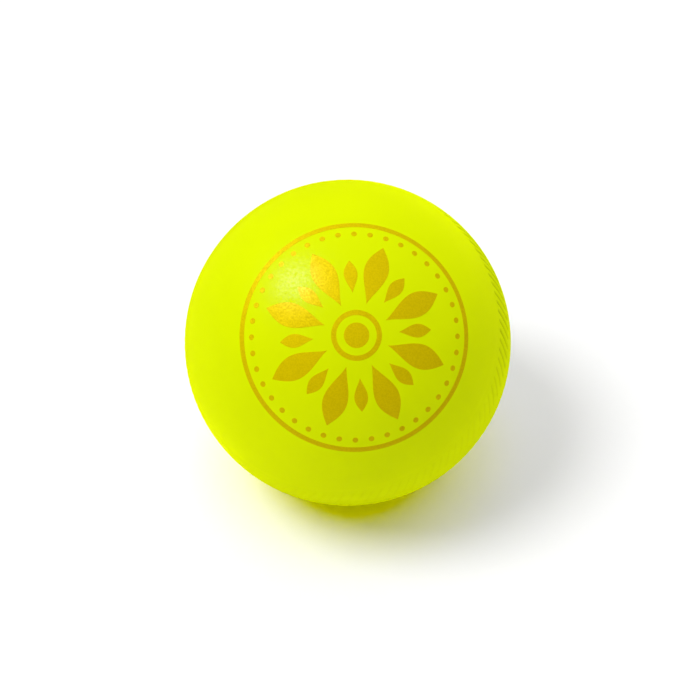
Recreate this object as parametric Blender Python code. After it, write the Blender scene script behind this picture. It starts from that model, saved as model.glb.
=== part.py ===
"""Plastic cricket ball: two hollow moulded half shells, welded together at the seam.

Metres, +Z up, with the origin at the ball's centre. Every piece is turned about its own Z axis, which runs through
the ball's two poles, and hangs on an empty that leans the ball the way it lies on a floor.
"""

from math import asin, cos, pi, radians, sin, tan

import bmesh
import bpy

# The ball
BALL_DIAMETER = 0.0720  # over the smooth skin
WALL = 0.0055  # from the smooth skin to the hollow

# The moulded stitches, flush with the skin and parted by valleys, with lengths measured along the skin
STITCH_COUNT = 105  # round each half
STITCH_LENGTH = 0.0075  # measured square to the seam
STITCH_SLANT = radians(26)  # of a stitch from the line between the poles
VALLEY_WIDTH = 0.0012
VALLEY_DEPTH = 0.00025
VALLEY_TAPER = 0.0016  # from a valley's end to its full depth
SEAM_HALF_WIDTH = 0.0028  # plain strip from the joint to the stitches

# The joint between the halves
TONGUE_WIDTH = 0.0017
TONGUE_HEIGHT = 0.0024
WELD_THICKNESS = 0.0008
CLEARANCE = 0.0003  # between pieces that touch

# How the ball lies on the floor
LIE_LEAN = radians(33.2)  # of the front pole, from upright towards -Y
LIE_TURN = radians(16.5)  # of the leaning pole, towards -X

# Fineness of the solids
SMOOTH_POINTS = 70  # round a plain ring
CAP_RINGS = 9
VALLEY_RINGS = 4
HOLLOW_RINGS = 7
SHARP_ANGLE = radians(40)

# Colours and finish
FLUORESCENT_YELLOW = (0.76, 0.92, 0.005, 1.0)
SHELL_ROUGHNESS = 0.42
WELD_ROUGHNESS = 0.6

# Sizes that follow from these
SKIN_RADIUS = BALL_DIAMETER / 2
HOLLOW_RADIUS = SKIN_RADIUS - WALL
RIM_HEIGHT = CLEARANCE / 2
TONGUE_INNER = SKIN_RADIUS - WALL / 2 - TONGUE_WIDTH / 2
TONGUE_OUTER = TONGUE_INNER + TONGUE_WIDTH
GROOVE_INNER = TONGUE_INNER - CLEARANCE
GROOVE_OUTER = TONGUE_OUTER + CLEARANCE
GROOVE_DEPTH = TONGUE_HEIGHT + WELD_THICKNESS + CLEARANCE
BAND_START = SEAM_HALF_WIDTH / SKIN_RADIUS  # latitude of the stitches' ends near the joint
BAND_END = (SEAM_HALF_WIDTH + STITCH_LENGTH) / SKIN_RADIUS  # latitude of their far ends


def clear_scene():
    for old in list(bpy.data.objects):
        bpy.data.objects.remove(old)


def plastic(name, roughness):
    """A material of the ball's yellow plastic."""
    material = bpy.data.materials.new(name)
    material.use_nodes = True
    shader = material.node_tree.nodes["Principled BSDF"]
    shader.inputs["Base Color"].default_value = FLUORESCENT_YELLOW
    shader.inputs["Roughness"].default_value = roughness
    shader.inputs["Metallic"].default_value = 0.0
    return material


def ring(bm, radius, height, points=SMOOTH_POINTS):
    """A level ring of points round the Z axis."""
    step = 2 * pi / points
    return [bm.verts.new((radius * cos(k * step), radius * sin(k * step), height)) for k in range(points)]


def latitude_ring(bm, radius, latitude):
    """A plain ring on a sphere."""
    return ring(bm, radius * cos(latitude), radius * sin(latitude))


def stitch_ring(bm, latitude, depth):
    """A ring across the stitches: three points over each valley, turned to follow the slant."""
    shoulder = VALLEY_WIDTH / 2 / SKIN_RADIUS
    found = []
    for k in range(STITCH_COUNT):
        middle = 2 * pi * k / STITCH_COUNT + latitude * tan(STITCH_SLANT)
        for side, sink in ((-shoulder, 0), (0, depth), (shoulder, 0)):
            radius = SKIN_RADIUS - sink
            level = radius * cos(latitude)
            angle = middle + side
            found.append(bm.verts.new((level * cos(angle), level * sin(angle), radius * sin(latitude))))
    return found


def join_rings(bm, first, second):
    """A strip of faces between two rings: quads if their counts match, and otherwise triangles."""
    m, n = len(first), len(second)
    if m == n:
        for k in range(m):
            bm.faces.new((first[k], second[k], second[(k + 1) % n], first[(k + 1) % m]))
        return
    i = j = 0
    while i < m or j < n:
        here, there = first[i % m], second[j % n]
        if (i + 0.5) * n <= (j + 0.5) * m:
            i += 1
            bm.faces.new((here, there, first[i % m]))
        else:
            j += 1
            bm.faces.new((here, there, second[j % n]))


def skin(bm, rings, top=None, bottom=None):
    """Faces over a run of rings, closed by a fan onto a single point at either end that has one."""
    for first, second in zip(rings, rings[1:]):
        join_rings(bm, first, second)
    for pole, edge in ((top, rings[0]), (bottom, rings[-1])):
        if pole:
            for k, point in enumerate(edge):
                bm.faces.new((pole, point, edge[(k + 1) % len(edge)]))


def cap_rings(bm):
    """The smooth skin, from beside the pole to the edge of the stitches."""
    step = (pi / 2 - BAND_END) / (CAP_RINGS + 1)
    return [latitude_ring(bm, SKIN_RADIUS, pi / 2 - k * step) for k in range(1, CAP_RINGS + 1)]


def stitch_rings(bm):
    """The band of stitches, from the smooth skin to the plain strip along the seam."""
    taper = VALLEY_TAPER / SKIN_RADIUS
    step = (BAND_END - BAND_START - 2 * taper) / (VALLEY_RINGS - 1)
    rings = [stitch_ring(bm, BAND_END, 0)]
    for k in range(VALLEY_RINGS):
        rings.append(stitch_ring(bm, BAND_END - taper - k * step, VALLEY_DEPTH))
    rings.append(stitch_ring(bm, BAND_START, 0))
    return rings


def hollow_rings(bm):
    """The inside wall, from the rim to beside the pole."""
    rim = asin(RIM_HEIGHT / HOLLOW_RADIUS)
    step = (pi / 2 - rim) / HOLLOW_RINGS
    return [latitude_ring(bm, HOLLOW_RADIUS, rim + k * step) for k in range(HOLLOW_RINGS)]


def add_piece(bm, name, roughness, lie):
    """A smooth-shaded object of this mesh, on the empty that leans the ball."""
    bmesh.ops.recalc_face_normals(bm, faces=bm.faces)
    mesh = bpy.data.meshes.new(name)
    bm.to_mesh(mesh)
    bm.free()
    mesh.shade_smooth()
    mesh.set_sharp_from_angle(angle=SHARP_ANGLE)
    mesh.materials.append(plastic(name + "_plastic", roughness))
    piece = bpy.data.objects.new(name, mesh)
    piece.parent = lie
    bpy.context.scene.collection.objects.link(piece)
    return piece


def half_shell(name, joint, lie):
    """A half ball, pole up, with its wall's rim shaped by the joint's (radius, height) points, outermost first."""
    bm = bmesh.new()
    rings = cap_rings(bm) + stitch_rings(bm)
    rings.append(latitude_ring(bm, SKIN_RADIUS, asin(RIM_HEIGHT / SKIN_RADIUS)))
    rings += [ring(bm, radius, height) for radius, height in joint]
    rings += hollow_rings(bm)
    outer_pole = bm.verts.new((0, 0, SKIN_RADIUS))
    inner_pole = bm.verts.new((0, 0, HOLLOW_RADIUS))
    skin(bm, rings, outer_pole, inner_pole)
    return add_piece(bm, name, SHELL_ROUGHNESS, lie)


def joint_profile(outer, inner, end):
    """The rim's tongue or groove, between two radii, from the rim's level to its end's and back."""
    return [(outer, RIM_HEIGHT), (outer, end), (inner, end), (inner, RIM_HEIGHT)]


def front_shell(lie):
    half_shell("front_shell", joint_profile(TONGUE_OUTER, TONGUE_INNER, RIM_HEIGHT - TONGUE_HEIGHT), lie)


def rear_shell(lie):
    """The same moulding turned over, with a groove in place of the tongue."""
    shell = half_shell("rear_shell", joint_profile(GROOVE_OUTER, GROOVE_INNER, RIM_HEIGHT + GROOVE_DEPTH), lie)
    shell.rotation_euler.x = pi


def weld_bead(lie):
    """The ring of set plastic between the tongue's end and the bottom of the groove."""
    top = RIM_HEIGHT - TONGUE_HEIGHT - CLEARANCE
    bottom = top - WELD_THICKNESS
    bm = bmesh.new()
    section = ((TONGUE_OUTER, top), (TONGUE_OUTER, bottom), (TONGUE_INNER, bottom), (TONGUE_INNER, top))
    rings = [ring(bm, radius, height) for radius, height in section]
    skin(bm, rings + rings[:1])
    add_piece(bm, "weld_bead", WELD_ROUGHNESS, lie)


def main():
    clear_scene()
    lie = bpy.data.objects.new("lie", None)
    lie.rotation_euler = (LIE_LEAN, 0, -LIE_TURN)
    bpy.context.scene.collection.objects.link(lie)
    front_shell(lie)
    rear_shell(lie)
    weld_bead(lie)


main()
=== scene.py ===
"""Looks of a plastic cricket ball: moulded halves with stitches, a weld, a gold print and a studio.

Metres, +Z up. The halves are made pole up, in the ball's own frame, and then leaned the way the ball lies.
"""

from math import acos, atan2, cos, hypot, pi, radians, sin, tan

import bmesh
import bpy
import numpy as np
from bpy.props import FloatProperty, FloatVectorProperty, IntProperty, PointerProperty
from mathutils import Euler, Matrix, Vector


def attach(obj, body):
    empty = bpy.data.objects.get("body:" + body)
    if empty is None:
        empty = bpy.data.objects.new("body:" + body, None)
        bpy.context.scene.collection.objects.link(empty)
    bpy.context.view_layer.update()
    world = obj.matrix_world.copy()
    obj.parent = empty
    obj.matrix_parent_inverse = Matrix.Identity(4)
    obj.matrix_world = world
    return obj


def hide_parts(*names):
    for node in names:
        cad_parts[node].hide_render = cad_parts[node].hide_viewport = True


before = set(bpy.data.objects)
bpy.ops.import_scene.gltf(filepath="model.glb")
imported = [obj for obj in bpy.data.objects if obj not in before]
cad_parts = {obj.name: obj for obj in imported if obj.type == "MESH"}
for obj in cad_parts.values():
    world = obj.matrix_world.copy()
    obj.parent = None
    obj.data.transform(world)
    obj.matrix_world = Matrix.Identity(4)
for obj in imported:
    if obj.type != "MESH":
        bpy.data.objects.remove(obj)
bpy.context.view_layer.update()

bl_info = {
    "name": "Plastic cricket ball",
    "version": (1, 0, 0),
    "blender": (4, 5, 0),
    "location": "3D View > Sidebar > Ball",
    "description": "Makes the halves, weld and gold print of a plastic cricket ball, and a studio for it",
    "category": "Object",
}

BODY = "root"
IMAGE_SIDE = 700  # pixels, both ways


def cad_points(node):
    """The points of a CAD node, one to a row."""
    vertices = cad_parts[node].data.vertices
    points = np.empty((len(vertices), 3), np.float32)
    vertices.foreach_get("co", points.ravel())
    return points.astype(float)


def levels(points):
    """How far points lie along the pole's direction from the ball's centre."""
    return points @ np.array(POLE)


def reaches(points):
    """How far points lie from the line through the poles."""
    return np.linalg.norm(points - np.outer(levels(points), POLE), axis=1)


# The ball as the CAD has it
FRONT = cad_points("front_shell")
WELD = cad_points("weld_bead")
WELD_NORMAL = np.linalg.svd(WELD - WELD.mean(axis=0), full_matrices=False)[2][-1]
POLE = Vector(WELD_NORMAL * np.sign(WELD_NORMAL @ FRONT.mean(axis=0)))
LIE = Euler((acos(POLE.z), 0, -atan2(-POLE.x, -POLE.y))).to_matrix()
SKIN_RADIUS = float(np.linalg.norm(FRONT, axis=1).max())
HOLLOW_RADIUS = float(np.linalg.norm(FRONT, axis=1).min())
FLOOR_LEVEL = -SKIN_RADIUS
TONGUE_END = float(levels(FRONT).min())
TONGUE_INNER = float(reaches(WELD).min())
TONGUE_OUTER = float(reaches(WELD).max())
WELD_TOP = float(levels(WELD).max())
WELD_BOTTOM = float(levels(WELD).min())
CLEARANCE = TONGUE_END - WELD_TOP

# Fineness of the meshes
STITCH_COLUMNS = 12  # points from the middle of one stitch to the next
COLUMN_CROWDING = 1.5  # above 1 they crowd towards the valley
BAND_LINES = 36  # rings along the stitches
STRIP_LINES = 6  # rings across the plain strip
CAP_COLUMN_SHARE = 3  # columns of the stitches to one of the smooth cap
CAP_LINES = 40
HOLLOW_COLUMNS = 140
HOLLOW_LINES = 16
EDGE_LINES = 3  # rings round a small rounded edge
PETAL_LINES = 28
PETAL_COLUMNS = 6
HOOP_LINES = 180
HOOP_COLUMNS = 3
DOT_LINES = 24
DOT_COLUMNS = 3
MERGE_DISTANCE = 1e-7
SHARP_ANGLE = radians(80)

# The rosette, in shares of its radius
LONG_PETAL = (0.26, 0.78, 0.1)  # near end, far end and half width
SHORT_PETAL = (0.34, 0.62, 0.055)
OUTER_HOOP = (0.955, 1.0)  # inner and outer edge
INNER_HOOP = (0.16, 0.2)
MIDDLE_DOT = 0.1
BEAD = 0.024
BEAD_DISTANCE = 0.88
PETAL_FULLNESS = 1.25  # above 1 a petal is widest beyond its middle
FILM_GAP_PART = 6  # the film starts this part of its thickness above the skin

# Noise in the materials, and the draws that make the valleys uneven
NOISE_DETAIL = 1.0
NOISE_MIDDLE = 0.5
CLOUD_EDGES = (0.3, 0.7)  # noise at which the pigment is at its thinnest and its thickest
FLAKE_EDGES = (0.35, 0.65)  # noise at which the ink is all body and all flake
FRONT_SEED = 1
REAR_SEED = 2

WHITE = (1.0, 1.0, 1.0, 1.0)
VALLEY_SHADE_MASK = "valley"  # name of the attribute that says how deep in a valley a point lies, the mask of the painted shade in the valleys


class MouldSettings(bpy.types.PropertyGroup):
    """Sizes of the moulded stitches and of the line where the halves meet."""

    stitch_count: IntProperty(name="Stitches", description="Stitches round each half", default=105, min=12)
    stitch_length: FloatProperty(
        name="Stitch length", description="Along the skin, square to the seam", default=0.0075, unit="LENGTH"
    )
    stitch_slant: FloatProperty(
        name="Slant",
        description="Of a stitch from the line between the poles",
        default=radians(26),
        subtype="ANGLE",
    )
    valley_width: FloatProperty(
        name="Valley width", description="Of the valleys between stitches", default=0.0011, unit="LENGTH"
    )
    valley_depth: FloatProperty(
        name="Valley depth",
        description="Of the clearest valleys between stitches",
        default=0.0005,
        unit="LENGTH",
    )
    crown_drop: FloatProperty(
        name="Crown", description="Fall from a stitch's middle to its valleys", default=0.0003, unit="LENGTH"
    )
    valley_taper: FloatProperty(
        name="Valley taper", description="From a valley's end to its full depth", default=0.001, unit="LENGTH"
    )
    valley_variation: FloatProperty(
        name="Variation", description="Spread of the valleys' depths", default=0.2, subtype="FACTOR"
    )
    faint_share: FloatProperty(
        name="Faint share",
        description="Of the full depth, where the valleys are faint",
        default=0.07,
        subtype="FACTOR",
    )
    faint_middle: FloatProperty(
        name="Faint middle",
        description="Where the front's valleys are faintest",
        default=radians(-85),
        subtype="ANGLE",
    )
    faint_reach: FloatProperty(
        name="Faint reach",
        description="Half the angle in which they are faint",
        default=radians(58),
        subtype="ANGLE",
    )
    faint_fade: FloatProperty(
        name="Faint fade", description="From there to the full depth", default=radians(65), subtype="ANGLE"
    )
    seam_half_width: FloatProperty(
        name="Plain strip", description="From the joint to the stitches", default=0.0028, unit="LENGTH"
    )
    joint_edge: FloatProperty(
        name="Joint edge",
        description="Radius of the edge of each half at the joint",
        default=0.0002,
        unit="LENGTH",
    )
    joint_gap: FloatProperty(
        name="Joint gap", description="Hairline between the halves", default=0.00004, unit="LENGTH"
    )


class PlasticSettings(bpy.types.PropertyGroup):
    """Colours and surface of the moulded plastic."""

    colour: FloatVectorProperty(
        name="Colour", description="Fluorescent yellow", default=(0.72, 0.862, 0.0), subtype="COLOR"
    )
    deep_colour: FloatVectorProperty(
        name="Deep colour",
        description="Where the pigment lies thicker",
        default=(0.7, 0.842, 0.0),
        subtype="COLOR",
    )
    # Painted light: to diffuse rays the ball shows these colours in place of its pigment, brighter yellow
    # close by and white further off, which set the light and shade it casts on the floor
    bleed_colour: FloatVectorProperty(
        name="Bleed",
        description="Of the light that it casts close by",
        default=(1.0, 1.0, 0.0),
        subtype="COLOR",
    )
    far_bleed_colour: FloatVectorProperty(
        name="Far bleed",
        description="Of the light that it casts further off",
        default=(1.0, 1.0, 1.0),
        subtype="COLOR",
    )
    bleed_start: FloatProperty(
        name="Bleed start",
        description="Where the colour it casts starts to fade",
        default=0.012,
        unit="LENGTH",
    )
    bleed_end: FloatProperty(
        name="Bleed end", description="Where the colour it casts has faded", default=0.022, unit="LENGTH"
    )
    # Painted shade: a negative blue glow, seen only by diffuse rays, takes blue from the floor close to the
    # ball and tints its shadow yellow
    painted_blue_shade: FloatProperty(name="Blue lack", description="Blue taken from the floor close by", default=0.37)
    blue_shade_start: FloatProperty(
        name="Lack start", description="Where the lack of blue starts to fade", default=0.005, unit="LENGTH"
    )
    blue_shade_end: FloatProperty(
        name="Lack end", description="Where the lack of blue has faded", default=0.012, unit="LENGTH"
    )
    # Painted shade: a dark colour put deep in the stitch valleys, where shade falls
    valley_shade_colour: FloatVectorProperty(
        name="Valley colour", description="Deep in the valleys", default=(0.24, 0.28, 0.0), subtype="COLOR"
    )
    cloud_size: FloatProperty(
        name="Cloud size", description="Of the unevenness in the pigment", default=0.016, unit="LENGTH"
    )
    roughness: FloatProperty(name="Roughness", description="Of the satin skin", default=0.3, subtype="FACTOR")
    roughness_spread: FloatProperty(
        name="Roughness spread", description="Unevenness of the shine", default=0.08, subtype="FACTOR"
    )
    shine: FloatProperty(
        name="Shine", description="Weight of the skin's thin gloss", default=0.03, subtype="FACTOR"
    )
    shine_spread: FloatProperty(
        name="Shine spread", description="How far the gloss varies with the grain", default=4.0
    )
    bloom: FloatProperty(
        name="Bloom", description="Weight of the glow at the skin's rim", default=1.0, subtype="FACTOR"
    )
    bloom_roughness: FloatProperty(
        name="Bloom roughness",
        description="How far the glow spreads from the rim",
        default=0.5,
        subtype="FACTOR",
    )
    bloom_colour: FloatVectorProperty(
        name="Bloom colour", description="Of the glow at the rim", default=(0.9, 1.0, 0.0), subtype="COLOR"
    )
    grain_size: FloatProperty(
        name="Grain size", description="Of the fine texture of the mould", default=0.0005, unit="LENGTH"
    )
    grain_depth: FloatProperty(
        name="Grain depth", description="Of the fine texture of the mould", default=0.00001, unit="LENGTH"
    )
    weld_roughness: FloatProperty(
        name="Weld roughness", description="Of the melted plastic", default=0.6, subtype="FACTOR"
    )
    flow_size: FloatProperty(
        name="Flow size", description="Of the weld's flow marks", default=0.0012, unit="LENGTH"
    )
    flow_depth: FloatProperty(
        name="Flow depth", description="Of the weld's flow marks", default=0.0001, unit="LENGTH"
    )


class PrintSettings(bpy.types.PropertyGroup):
    """Place, size and ink of the gold rosette on the front half."""

    gold: FloatVectorProperty(
        name="Gold", description="Colour of the ink's flakes", default=(0.65, 0.503, 0.0), subtype="COLOR"
    )
    dark_gold: FloatVectorProperty(
        name="Dark gold", description="Between the flakes", default=(0.59, 0.452, 0.0), subtype="COLOR"
    )
    metal: FloatProperty(name="Metal", description="How metallic the ink is", default=0.06, subtype="FACTOR")
    sparkle: FloatProperty(
        name="Sparkle", description="How far the shine varies with the flakes", default=2.4
    )
    roughness: FloatProperty(name="Roughness", description="Of the ink", default=0.55, subtype="FACTOR")
    flake_size: FloatProperty(
        name="Flake size", description="Of the ink's grain", default=0.00035, unit="LENGTH"
    )
    flake_depth: FloatProperty(
        name="Flake depth", description="Of the ink's grain", default=0.00003, unit="LENGTH"
    )
    radius: FloatProperty(
        name="Radius", description="Of the whole rosette, along the skin", default=0.0262, unit="LENGTH"
    )
    thickness: FloatProperty(
        name="Ink thickness", description="Of the film above the skin", default=0.00003, unit="LENGTH"
    )
    lean: FloatProperty(
        name="Lean",
        description="From the front pole to the print's middle",
        default=radians(14.0),
        subtype="ANGLE",
    )
    turn: FloatProperty(
        name="Turn",
        description="Of the print's middle round the front pole",
        default=radians(-18.6),
        subtype="ANGLE",
    )
    spin: FloatProperty(
        name="Spin", description="Of the rosette about its own middle", default=radians(14.5), subtype="ANGLE"
    )
    petals: IntProperty(name="Petals", description="Long petals of the rosette", default=8, min=3)
    beads: IntProperty(name="Beads", description="Dots in the outer ring", default=40, min=3)


class StudioSettings(bpy.types.PropertyGroup):
    """Camera, light and floor."""

    elevation: FloatProperty(
        name="Elevation", description="Of the camera above the floor", default=radians(48), subtype="ANGLE"
    )
    distance: FloatProperty(
        name="Distance", description="From the camera to the ball's centre", default=0.504, unit="LENGTH"
    )
    outline_pixels: FloatProperty(
        name="Outline", description="Radius of the ball in the picture", default=163.2
    )
    middle_x: FloatProperty(
        name="Middle X", description="Pixel of the ball's centre, from the left", default=347.7
    )
    middle_y: FloatProperty(
        name="Middle Y", description="Pixel of the ball's centre, from the top", default=342.6
    )
    sky_level: FloatProperty(name="Sky level", description="Light from the horizon", default=0.22)
    sky_top: FloatProperty(name="Sky top", description="Light that straight up adds", default=0.66)
    sky_back: FloatProperty(
        name="Sky back", description="Light that the back adds and the front loses", default=0.42
    )
    sky_right: FloatProperty(
        name="Sky right", description="Light that the right adds and the left loses", default=0.1
    )
    key_level: FloatProperty(
        name="Key level", description="What the lamp adds on a surface facing it", default=0.54
    )
    key_azimuth: FloatProperty(
        name="Key azimuth",
        description="Of the lamp, from +X towards +Y",
        default=radians(193),
        subtype="ANGLE",
    )
    key_elevation: FloatProperty(
        name="Key elevation",
        description="Of the lamp above the floor",
        default=radians(58.5),
        subtype="ANGLE",
    )
    key_half_angle: FloatProperty(
        name="Key size",
        description="Half the angle that the lamp fills",
        default=radians(14),
        subtype="ANGLE",
    )
    sheen_level: FloatProperty(
        name="Sheen level", description="Of the lamp that gives the highlight", default=4.6
    )
    sheen_azimuth: FloatProperty(
        name="Sheen azimuth",
        description="Of that lamp, from +X towards +Y",
        default=radians(168),
        subtype="ANGLE",
    )
    sheen_elevation: FloatProperty(
        name="Sheen elevation",
        description="Of that lamp above the floor",
        default=radians(55.2),
        subtype="ANGLE",
    )
    sheen_half_angle: FloatProperty(
        name="Sheen size", description="Half the angle that it fills", default=radians(10.5), subtype="ANGLE"
    )
    floor_colour: FloatVectorProperty(
        name="Floor", description="Colour of the floor", default=(0.97, 0.97, 0.97), subtype="COLOR"
    )
    floor_side: FloatProperty(
        name="Floor side", description="Length of the floor", default=6.0, unit="LENGTH"
    )


class BallSettings(bpy.types.PropertyGroup):
    """Everything that can be set for the ball."""

    mould: PointerProperty(type=MouldSettings)
    plastic: PointerProperty(type=PlasticSettings)
    gold_print: PointerProperty(type=PrintSettings)
    studio: PointerProperty(type=StudioSettings)


class Value:
    """A socket that gives a number. Python's operators on it add Math nodes."""

    def __init__(self, nodes, socket):
        self.nodes = nodes
        self.socket = socket

    def maths(self, operation, *values):
        node = self.nodes.add("ShaderNodeMath", {"operation": operation}, dict(enumerate(values)))
        return Value(self.nodes, node.outputs[0])

    def __add__(self, other):
        return self.maths("ADD", self, other)

    def __radd__(self, other):
        return self.maths("ADD", other, self)

    def __sub__(self, other):
        return self.maths("SUBTRACT", self, other)

    def __rsub__(self, other):
        return self.maths("SUBTRACT", other, self)

    def __mul__(self, other):
        return self.maths("MULTIPLY", self, other)

    def __rmul__(self, other):
        return self.maths("MULTIPLY", other, self)

    def larger(self, other):
        return self.maths("MAXIMUM", self, other)

    def rise(self, low, high):
        """0 up to low, 1 from high, and smooth between them."""
        node = self.nodes.add(
            "ShaderNodeMapRange",
            {"interpolation_type": "SMOOTHSTEP"},
            {"Value": self, "From Min": low, "From Max": high},
        )
        return Value(self.nodes, node.outputs["Result"])


class NodeSheet:
    """The nodes of one material or of the world."""

    MIX_SHARE, MIX_A, MIX_B, MIX_COLOUR = 0, 6, 7, 2  # sockets of a Mix node that mixes colours

    def __init__(self, owner):
        owner.use_nodes = True
        self.tree = owner.node_tree
        self.tree.nodes.clear()

    def add(self, kind, settings=None, sockets=None):
        """A node of this type, with its settings and then the values or links of its sockets."""
        node = self.tree.nodes.new(kind)
        for name, setting in (settings or {}).items():
            setattr(node, name, setting)
        for name, given in (sockets or {}).items():
            source = given.socket if isinstance(given, Value) else given
            if isinstance(source, bpy.types.NodeSocket):
                self.tree.links.new(source, node.inputs[name])
            else:
                node.inputs[name].default_value = source
        return node

    def value(self, kind, output, settings=None, sockets=None):
        """A number from a new node's output."""
        return Value(self, self.add(kind, settings, sockets).outputs[output])

    def place(self):
        """Where a point lies in the object's own space."""
        return self.add("ShaderNodeTexCoord").outputs["Object"]

    def noise(self, place, size):
        """Cloudy noise from 0 to 1, with patches of about this size."""
        sockets = {"Vector": place, "Scale": 1 / size, "Detail": NOISE_DETAIL}
        return self.value("ShaderNodeTexNoise", "Fac", None, sockets)

    def mix(self, share, first, second):
        """A colour between two."""
        sockets = {self.MIX_SHARE: share, self.MIX_A: first, self.MIX_B: second}
        return self.add("ShaderNodeMix", {"data_type": "RGBA"}, sockets).outputs[self.MIX_COLOUR]

    def scaled(self, vector, share):
        """A vector made longer or shorter."""
        sockets = {"Vector": vector, "Scale": share}
        return self.add("ShaderNodeVectorMath", {"operation": "SCALE"}, sockets).outputs["Vector"]

    def bump(self, height, depth):
        """A normal for a surface that rises by this depth where the height is 1."""
        return self.add("ShaderNodeBump", None, {"Height": height, "Distance": depth}).outputs["Normal"]

    def surface(self, sockets):
        """Ends the sheet with a Principled surface of these values."""
        shader = self.add("ShaderNodeBsdfPrincipled", None, sockets)
        self.add("ShaderNodeOutputMaterial", None, {"Surface": shader.outputs[0]})


def opaque(colour):
    """A colour with its alpha."""
    return (*colour, 1.0)


def centred(noise, spread):
    """Noise turned into a change of up to half the spread either way."""
    return (noise - NOISE_MIDDLE) * spread


def yellow_plastic(plastic):
    """Satin fluorescent plastic, with the mould's fine grain, a little unevenness in colour and shine, and
    painted shade deep in the stitch valleys. To diffuse rays it shows painted bleed colours and a negative
    blue glow, which paint the light and shade it casts on the floor nearby.
    """
    material = bpy.data.materials.new("yellow_plastic")
    nodes = NodeSheet(material)
    place = nodes.place()
    clouds = nodes.noise(place, plastic.cloud_size)
    grain = nodes.noise(place, plastic.grain_size)
    pigment = nodes.mix(clouds.rise(*CLOUD_EDGES), opaque(plastic.colour), opaque(plastic.deep_colour))
    # Painted shade: the pigment darkens towards the valley colour the deeper a point lies in a valley
    valley = nodes.value("ShaderNodeAttribute", "Fac", {"attribute_name": VALLEY_SHADE_MASK})
    pigment = nodes.mix(valley, pigment, opaque(plastic.valley_shade_colour))
    path = nodes.add("ShaderNodeLightPath").outputs
    reach = Value(nodes, path["Ray Length"])
    bounced = Value(nodes, path["Is Diffuse Ray"])
    # Painted light: diffuse rays see the bleed colours instead of the pigment, chosen by how far they
    # travelled
    fade = reach.rise(plastic.bleed_start, plastic.bleed_end)
    bleed = nodes.mix(fade, opaque(plastic.bleed_colour), opaque(plastic.far_bleed_colour))
    # Painted shade: diffuse rays that reach the ball from close by see a negative blue glow, which darkens
    # the floor's blue
    near = 1 - reach.rise(plastic.blue_shade_start, plastic.blue_shade_end)
    lack = nodes.scaled((0.0, 0.0, -plastic.painted_blue_shade), near * bounced)
    material.cycles.emission_sampling = "NONE"  # the painted blue shade is a negative glow met by bounced light, and is no lamp
    spread = plastic.roughness_spread
    nodes.surface(
        {
            "Base Color": nodes.mix(bounced, pigment, bleed),
            "Emission Color": lack,
            "Emission Strength": 1.0,
            "Roughness": plastic.roughness + centred(clouds, spread) + centred(grain, spread),
            "Specular IOR Level": 0.0,
            "Coat Weight": plastic.shine * (1 + centred(grain, plastic.shine_spread)).larger(0.0),
            "Coat Roughness": plastic.roughness,
            "Sheen Weight": plastic.bloom,
            "Sheen Roughness": plastic.bloom_roughness,
            "Sheen Tint": opaque(plastic.bloom_colour),
            "Normal": nodes.bump(grain, plastic.grain_depth),
        }
    )
    return material


def gold_ink(ink, plastic):
    """Metallic ink: bright flakes in a darker body."""
    material = bpy.data.materials.new("gold_ink")
    nodes = NodeSheet(material)
    flakes = nodes.noise(nodes.place(), ink.flake_size)
    sparkle = (1 + centred(flakes, ink.sparkle)).larger(0.0)
    nodes.surface(
        {
            "Base Color": nodes.mix(flakes.rise(*FLAKE_EDGES), opaque(ink.dark_gold), opaque(ink.gold)),
            "Metallic": ink.metal * sparkle,
            "Roughness": ink.roughness + centred(flakes, plastic.roughness_spread),
            "Specular IOR Level": 0.0,
            "Coat Weight": plastic.shine * sparkle,
            "Coat Roughness": plastic.roughness,
            "Normal": nodes.bump(flakes, ink.flake_depth),
        }
    )
    return material


def weld_plastic(plastic):
    """The same plastic melted and set: duller, with flow marks."""
    material = bpy.data.materials.new("weld_plastic")
    nodes = NodeSheet(material)
    flow = nodes.noise(nodes.place(), plastic.flow_size)
    nodes.surface(
        {
            "Base Color": nodes.mix(flow, opaque(plastic.colour), opaque(plastic.deep_colour)),
            "Roughness": plastic.weld_roughness + centred(flow, plastic.roughness_spread),
            "Specular IOR Level": 0.0,
            "Coat Weight": plastic.shine,
            "Coat Roughness": plastic.weld_roughness,
            "Normal": nodes.bump(flow, plastic.flow_depth),
        }
    )
    return material


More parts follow.
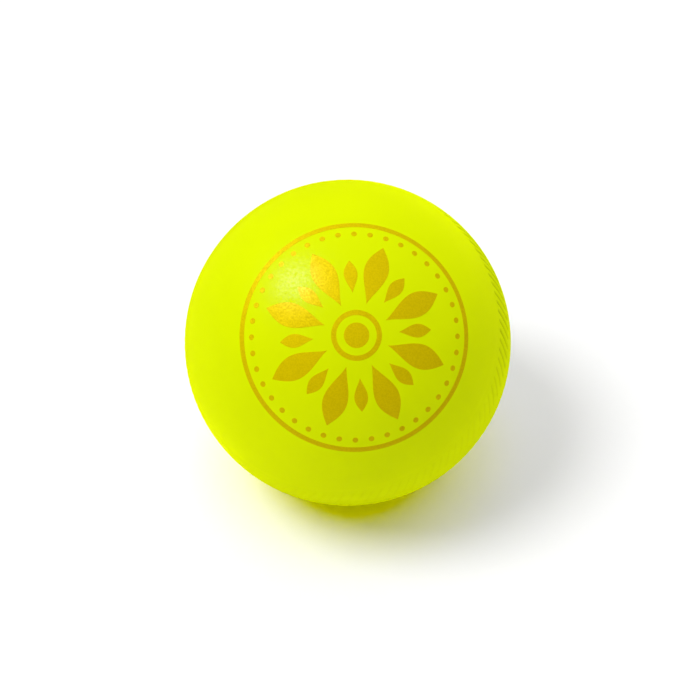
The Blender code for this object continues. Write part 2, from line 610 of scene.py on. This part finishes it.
class TurnedSkin:
    """A skin of rings of points round the ball's axis."""

    def __init__(self):
        self.points = []
        self.valleys = []
        self.faces = []

    def ring(self, radius, height, angles, valleys=0.0):
        """Adds a ring, with radius, height and valley for all or each, and returns its points' numbers."""
        start = len(self.points)
        across = np.broadcast_to(radius, angles.shape)
        up = np.broadcast_to(height, angles.shape)
        self.points += np.column_stack((across * np.cos(angles), across * np.sin(angles), up)).tolist()
        self.valleys += np.broadcast_to(valleys, angles.shape).tolist()
        return range(start, len(self.points))

    def plain_ring(self, radius, height, count):
        """A level round ring."""
        return self.ring(radius, height, np.arange(count) * (2 * pi / count))

    def latitude_ring(self, radius, latitude, count):
        """A round ring on a sphere."""
        return self.plain_ring(radius * cos(latitude), radius * sin(latitude), count)

    def strip(self, first, second):
        """Faces between two rings: quads if their counts match, and otherwise triangles."""
        m, n = len(first), len(second)
        if m == n:
            for k in range(m):
                after = (k + 1) % m
                self.faces.append((first[k], second[k], second[after], first[after]))
            return
        i = j = 0
        while i < m or j < n:
            here, there = first[i % m], second[j % n]
            if (i + 0.5) * n <= (j + 0.5) * m:
                i += 1
                self.faces.append((here, there, first[i % m]))
            else:
                j += 1
                self.faces.append((here, there, second[j % n]))

    def strips(self, rings):
        """Faces along a run of rings."""
        for first, second in zip(rings, rings[1:]):
            self.strip(first, second)

    def fan(self, height, ring):
        """Closes a ring with a point on the axis."""
        tip = len(self.points)
        self.points.append((0.0, 0.0, height))
        self.valleys.append(0.0)
        for k, point in enumerate(ring):
            self.faces.append((tip, point, ring[(k + 1) % len(ring)]))

    def piece(self, name, turn=None):
        """A smooth object of the skin, turned if need be and then leaned the way the ball lies."""
        mesh = bpy.data.meshes.new(name)
        mesh.from_pydata(self.points, [], self.faces)
        mesh.attributes.new(VALLEY_SHADE_MASK, "FLOAT", "POINT").data.foreach_set("value", self.valleys)
        placing = LIE @ turn if turn else LIE
        mesh.transform(placing.to_4x4())
        return finished(name, mesh)


def finished(name, mesh):
    """A smooth object of a closed mesh, with its faces pointing out."""
    bm = bmesh.new()
    bm.from_mesh(mesh)
    bmesh.ops.recalc_face_normals(bm, faces=bm.faces)
    bm.to_mesh(mesh)
    bm.free()
    mesh.shade_smooth()
    mesh.set_sharp_from_angle(angle=SHARP_ANGLE)
    piece = bpy.data.objects.new(name, mesh)
    bpy.context.scene.collection.objects.link(piece)
    return piece


def smooth(share):
    """0 below 0, 1 above 1, and smooth between them, for one share or many."""
    clipped = np.clip(share, 0.0, 1.0)
    return clipped * clipped * (3 - 2 * clipped)


def valley_taper(mould, along):
    """Share of a valley's depth at a distance from the joint: none at both ends."""
    inward = along - mould.seam_half_width
    taper = mould.valley_taper
    return smooth(inward / taper) * smooth((mould.stitch_length - inward) / taper)


def valley_shares(mould, seed, faint):
    """Each valley's share of the full depth: a little uneven, and less in the part where they are faint."""
    uneven = 1 - mould.valley_variation * np.random.default_rng(seed).random(mould.stitch_count)
    if not faint:
        return uneven
    angles = np.arange(mould.stitch_count) * (2 * pi / mould.stitch_count)
    off = np.abs((angles - mould.faint_middle + pi) % (2 * pi) - pi)
    clear = smooth((off - mould.faint_reach) / mould.faint_fade)
    return uneven * (mould.faint_share + (1 - mould.faint_share) * clear)


def stitch_ring(skin, mould, along, shares):
    """A ring across the stitches, at a distance from the joint."""
    latitude = along / SKIN_RADIUS
    pitch = 2 * pi / mould.stitch_count
    share = np.arange(STITCH_COLUMNS) / STITCH_COLUMNS * 2 - 1
    aside = np.sign(share) * np.abs(share) ** COLUMN_CROWDING * pitch / 2
    off_valley = np.abs(aside) * SKIN_RADIUS * cos(latitude) / (mould.valley_width / 2)
    sunk = smooth(1 - off_valley)
    fallen = (1 - np.abs(aside) / (pitch / 2)) ** 2
    share_here = valley_taper(mould, along) * shares
    valleys = np.outer(share_here, sunk).ravel()
    crowns = np.outer(share_here, fallen).ravel()
    radius = SKIN_RADIUS - mould.valley_depth * valleys - mould.crown_drop * crowns
    middles = np.arange(mould.stitch_count) * pitch + latitude * tan(mould.stitch_slant)
    angles = np.add.outer(middles, aside).ravel()
    return skin.ring(radius * cos(latitude), radius * sin(latitude), angles, valleys)


def outer_rings(skin, mould, shares):
    """The outside of a half, from beside its pole to the edge at the joint."""
    columns = mould.stitch_count * STITCH_COLUMNS
    band_start = mould.seam_half_width
    band_end = band_start + mould.stitch_length
    rings = []
    cap = pi / 2 - band_end / SKIN_RADIUS
    for k in range(1, CAP_LINES):
        latitude = pi / 2 - cap * k / CAP_LINES
        rings.append(skin.latitude_ring(SKIN_RADIUS, latitude, columns // CAP_COLUMN_SHARE))
    for k in range(BAND_LINES + 1):
        rings.append(stitch_ring(skin, mould, band_end - mould.stitch_length * k / BAND_LINES, shares))
    edge = mould.joint_edge
    rim = mould.joint_gap / 2
    for k in range(1, STRIP_LINES):
        along = band_start + (rim + edge - band_start) * k / STRIP_LINES
        rings.append(stitch_ring(skin, mould, along, shares))
    for k in range(EDGE_LINES + 1):
        angle = pi / 2 * k / EDGE_LINES
        radius = SKIN_RADIUS - edge * (1 - cos(angle))
        rings.append(skin.plain_ring(radius, rim + edge * (1 - sin(angle)), columns))
    return rings


def half_ball(name, joint, mould, shares, turn=None):
    """A half of the ball, with its rim shaped by the joint's (radius, height) points, outermost first."""
    skin = TurnedSkin()
    rings = outer_rings(skin, mould, shares)
    rings += [skin.plain_ring(radius, height, HOLLOW_COLUMNS) for radius, height in joint]
    for k in range(HOLLOW_LINES):
        latitude = pi / 2 * k / HOLLOW_LINES
        height = max(HOLLOW_RADIUS * sin(latitude), mould.joint_gap / 2)
        rings.append(skin.plain_ring(HOLLOW_RADIUS * cos(latitude), height, HOLLOW_COLUMNS))
    skin.strips(rings)
    skin.fan(SKIN_RADIUS, rings[0])
    skin.fan(HOLLOW_RADIUS, rings[-1])
    return skin.piece(name, turn)


def tongue(rim):
    """The front rim's tongue, with its leading edges eased, from its outside to its inside."""
    ease = CLEARANCE
    return [
        (TONGUE_OUTER, rim),
        (TONGUE_OUTER, TONGUE_END + ease),
        (TONGUE_OUTER - ease, TONGUE_END),
        (TONGUE_INNER + ease, TONGUE_END),
        (TONGUE_INNER, TONGUE_END + ease),
        (TONGUE_INNER, rim),
    ]


def groove(rim):
    """The rear rim's groove, from its outside to its inside."""
    outer, inner = TONGUE_OUTER + CLEARANCE, TONGUE_INNER - CLEARANCE
    depth = CLEARANCE - WELD_BOTTOM
    return [(outer, rim), (outer, depth), (inner, depth), (inner, rim)]


class PrintFilm:
    """A film of ink on the skin, drawn in a plane that is wrapped onto the ball round the print's middle."""

    def __init__(self, ink):
        self.bm = bmesh.new()
        self.low = SKIN_RADIUS + ink.thickness / FILM_GAP_PART
        self.high = SKIN_RADIUS + ink.thickness
        self.placing = LIE @ Euler((0, ink.lean, ink.turn)).to_matrix() @ Matrix.Rotation(ink.spin, 3, "Z")

    def on_skin(self, x, y, radius):
        """The point on the ball for a point of the plane."""
        bearing = atan2(y, x)
        angle = hypot(x, y) / SKIN_RADIUS
        point = Vector((sin(angle) * cos(bearing), sin(angle) * sin(bearing), cos(angle)))
        return self.placing @ (point * radius)

    def patch(self, grid, closed=False):
        """A closed film over a grid of plane points, whose rows run round and meet if it is closed."""
        layers = []
        for radius in (self.high, self.low):
            layers.append([[self.bm.verts.new(self.on_skin(x, y, radius)) for x, y in row] for row in grid])
        top, base = layers
        rows, columns = len(grid), len(grid[0])
        for i in range(rows if closed else rows - 1):
            after = (i + 1) % rows
            for j in range(columns - 1):
                for layer in layers:
                    self.face(layer[i][j], layer[after][j], layer[after][j + 1], layer[i][j + 1])
            for j in (0, columns - 1):
                self.face(top[i][j], top[after][j], base[after][j], base[i][j])
        if not closed:
            for i in (0, rows - 1):
                for j in range(columns - 1):
                    self.face(top[i][j], top[i][j + 1], base[i][j + 1], base[i][j])

    def face(self, *corners):
        self.bm.faces.new(corners)

    def petal(self, near, far, half_width, bearing):
        """A pointed leaf that runs out from the middle."""
        grid = []
        for i in range(PETAL_LINES + 1):
            share = i / PETAL_LINES
            out = near + (far - near) * share
            width = half_width * sin(pi * share ** PETAL_FULLNESS)
            row = []
            for j in range(PETAL_COLUMNS + 1):
                side = width * (2 * j / PETAL_COLUMNS - 1)
                x = out * cos(bearing) - side * sin(bearing)
                y = out * sin(bearing) + side * cos(bearing)
                row.append((x, y))
            grid.append(row)
        self.patch(grid)

    def hoop(self, inner, outer):
        """A ring round the middle."""
        grid = []
        for i in range(HOOP_LINES):
            angle = 2 * pi * i / HOOP_LINES
            reach = [inner + (outer - inner) * j / HOOP_COLUMNS for j in range(HOOP_COLUMNS + 1)]
            grid.append([(r * cos(angle), r * sin(angle)) for r in reach])
        self.patch(grid, closed=True)

    def dot(self, radius, out, bearing):
        """A round dot at a distance from the middle."""
        x, y = out * cos(bearing), out * sin(bearing)
        grid = []
        for i in range(DOT_LINES):
            angle = 2 * pi * i / DOT_LINES
            reach = [radius * j / DOT_COLUMNS for j in range(DOT_COLUMNS + 1)]
            grid.append([(x + r * cos(angle), y + r * sin(angle)) for r in reach])
        self.patch(grid, closed=True)

    def piece(self, name):
        """The whole film as one object."""
        bmesh.ops.remove_doubles(self.bm, verts=self.bm.verts, dist=MERGE_DISTANCE)
        mesh = bpy.data.meshes.new(name)
        self.bm.to_mesh(mesh)
        self.bm.free()
        return finished(name, mesh)


def ball_settings():
    return bpy.context.scene.ball_settings


def material_of(name, make, *settings):
    """The material of this name, made the first time that it is asked for."""
    return bpy.data.materials.get(name) or make(*settings)


class BALL_OT_mould_halves(bpy.types.Operator):
    """Make the front and rear halves with their stitches"""

    bl_idname = "ball.mould_halves"
    bl_label = "Mould the halves"

    def execute(self, context):
        settings = ball_settings()
        mould = settings.mould
        plastic = material_of("yellow_plastic", yellow_plastic, settings.plastic)
        rim = mould.joint_gap / 2
        front = half_ball("front_half", tongue(rim), mould, valley_shares(mould, FRONT_SEED, faint=True))
        turn = Matrix.Rotation(pi, 3, "X")
        rear = half_ball("rear_half", groove(rim), mould, valley_shares(mould, REAR_SEED, faint=False), turn)
        for piece, node in ((front, "front_shell"), (rear, "rear_shell")):
            piece.data.materials.append(plastic)
            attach(piece, BODY)
            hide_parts(node)
        return {"FINISHED"}


class BALL_OT_set_weld(bpy.types.Operator):
    """Give the weld its melted plastic"""

    bl_idname = "ball.set_weld"
    bl_label = "Set the weld"

    def execute(self, context):
        material = material_of("weld_plastic", weld_plastic, ball_settings().plastic)
        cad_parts["weld_bead"].material_slots[0].material = material
        return {"FINISHED"}


class BALL_OT_stamp_print(bpy.types.Operator):
    """Stamp the gold rosette on the front half"""

    bl_idname = "ball.stamp_print"
    bl_label = "Stamp the print"

    def execute(self, context):
        settings = ball_settings()
        ink = settings.gold_print
        film = PrintFilm(ink)
        whole = ink.radius
        step = 2 * pi / ink.petals
        for k in range(ink.petals):
            film.petal(*[share * whole for share in LONG_PETAL], k * step)
            film.petal(*[share * whole for share in SHORT_PETAL], (k + 0.5) * step)
        film.hoop(*[share * whole for share in OUTER_HOOP])
        film.hoop(*[share * whole for share in INNER_HOOP])
        film.dot(MIDDLE_DOT * whole, 0, 0)
        for k in range(ink.beads):
            film.dot(BEAD * whole, BEAD_DISTANCE * whole, 2 * pi * k / ink.beads)
        piece = film.piece("gold_rosette")
        piece.data.materials.append(material_of("gold_ink", gold_ink, ink, settings.plastic))
        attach(piece, BODY)
        return {"FINISHED"}


class BALL_OT_set_stage(bpy.types.Operator):
    """Set up the floor, the light and the camera"""

    bl_idname = "ball.set_stage"
    bl_label = "Set the stage"

    def execute(self, context):
        studio = ball_settings().studio
        lay_floor(studio)
        light_world(studio)
        hang_lamps(studio)
        set_camera(studio)
        context.scene.view_settings.view_transform = "Standard"
        return {"FINISHED"}


def lay_floor(studio):
    """A pale floor, level with the ball's lowest point."""
    half = studio.floor_side / 2
    mesh = bpy.data.meshes.new("floor")
    corners = [(-half, -half), (half, -half), (half, half), (-half, half)]
    mesh.from_pydata([(x, y, FLOOR_LEVEL) for x, y in corners], [], [range(len(corners))])
    floor = bpy.data.objects.new("floor", mesh)
    bpy.context.scene.collection.objects.link(floor)
    material = bpy.data.materials.new("pale_floor")
    NodeSheet(material).surface(
        {"Base Color": opaque(studio.floor_colour), "Roughness": 1.0, "Specular IOR Level": 0.0}
    )
    mesh.materials.append(material)


def light_world(studio):
    """Soft light, brightest overhead, at the back and on the right, with a white background."""
    world = bpy.data.worlds.new("studio")
    nodes = NodeSheet(world)
    way = nodes.add("ShaderNodeTexCoord").outputs["Generated"]
    split = nodes.add("ShaderNodeSeparateXYZ", None, {"Vector": way})
    right, back, up = (Value(nodes, split.outputs[axis]) for axis in "XYZ")
    light = studio.sky_level + up * studio.sky_top + back * studio.sky_back + right * studio.sky_right
    light = light.larger(0.0)
    path = nodes.add("ShaderNodeLightPath").outputs
    rays = ("Is Camera Ray", "Is Glossy Ray", "Is Transmission Ray")
    seen, mirrored, through = (Value(nodes, path[ray]) for ray in rays)
    white = seen.larger(mirrored).larger(through)
    strength = light + (1 - light) * white
    background = nodes.add("ShaderNodeBackground", None, {"Color": WHITE, "Strength": strength})
    nodes.add("ShaderNodeOutputWorld", None, {"Surface": background.outputs[0]})
    bpy.context.scene.world = world


def hang_lamp(name, level, azimuth, elevation, half_angle):
    """A far lamp, as wide as a soft box."""
    data = bpy.data.lights.new(name, "SUN")
    data.angle = 2 * half_angle
    data.energy = pi * level
    direction = Euler((0, -elevation, azimuth)).to_matrix() @ Vector((1, 0, 0))
    lamp = bpy.data.objects.new(name, data)
    lamp.location = direction
    lamp.rotation_euler = direction.to_track_quat("Z", "Y").to_euler()
    bpy.context.scene.collection.objects.link(lamp)
    return lamp


def hang_lamps(studio):
    """A key lamp for the shading and the shadow, and a lamp that shows only as the highlight."""
    key = hang_lamp("key", studio.key_level, studio.key_azimuth, studio.key_elevation, studio.key_half_angle)
    key.visible_glossy = False
    place = (studio.sheen_azimuth, studio.sheen_elevation, studio.sheen_half_angle)
    sheen = hang_lamp("sheen", studio.sheen_level, *place)
    sheen.visible_diffuse = False


def set_camera(studio):
    """A camera that shows the ball at the photograph's angle, size and place."""
    data = bpy.data.cameras.new("camera")
    camera = bpy.data.objects.new("camera", data)
    away = Vector((0, -cos(studio.elevation), sin(studio.elevation)))
    camera.location = away * studio.distance
    camera.rotation_euler = (pi / 2 - studio.elevation, 0, 0)
    half_angle_tangent = SKIN_RADIUS / (studio.distance ** 2 - SKIN_RADIUS ** 2) ** 0.5
    data.lens = studio.outline_pixels / half_angle_tangent / IMAGE_SIDE * data.sensor_width
    data.shift_x = 0.5 - studio.middle_x / IMAGE_SIDE
    data.shift_y = studio.middle_y / IMAGE_SIDE - 0.5
    bpy.context.scene.collection.objects.link(camera)
    bpy.context.scene.camera = camera


class BALL_PT_panel(bpy.types.Panel):
    """Settings and steps of the ball"""

    bl_idname = "BALL_PT_panel"
    bl_label = "Plastic cricket ball"
    bl_space_type = "VIEW_3D"
    bl_region_type = "UI"
    bl_category = "Ball"

    def draw(self, context):
        settings = ball_settings()
        steps = (
            (BALL_OT_mould_halves, settings.mould),
            (BALL_OT_set_weld, settings.plastic),
            (BALL_OT_stamp_print, settings.gold_print),
            (BALL_OT_set_stage, settings.studio),
        )
        for step, group in steps:
            box = self.layout.box()
            box.operator(step.bl_idname)
            for name in group.__annotations__:
                box.prop(group, name)


CLASSES = (
    MouldSettings,
    PlasticSettings,
    PrintSettings,
    StudioSettings,
    BallSettings,
    BALL_OT_mould_halves,
    BALL_OT_set_weld,
    BALL_OT_stamp_print,
    BALL_OT_set_stage,
    BALL_PT_panel,
)


def register():
    for cls in CLASSES:
        bpy.utils.register_class(cls)
    bpy.types.Scene.ball_settings = PointerProperty(type=BallSettings)


def unregister():
    del bpy.types.Scene.ball_settings
    for cls in reversed(CLASSES):
        bpy.utils.unregister_class(cls)


def main():
    register()
    bpy.ops.ball.mould_halves()
    bpy.ops.ball.set_weld()
    bpy.ops.ball.stamp_print()
    bpy.ops.ball.set_stage()


if __name__ == "__main__":
    main()
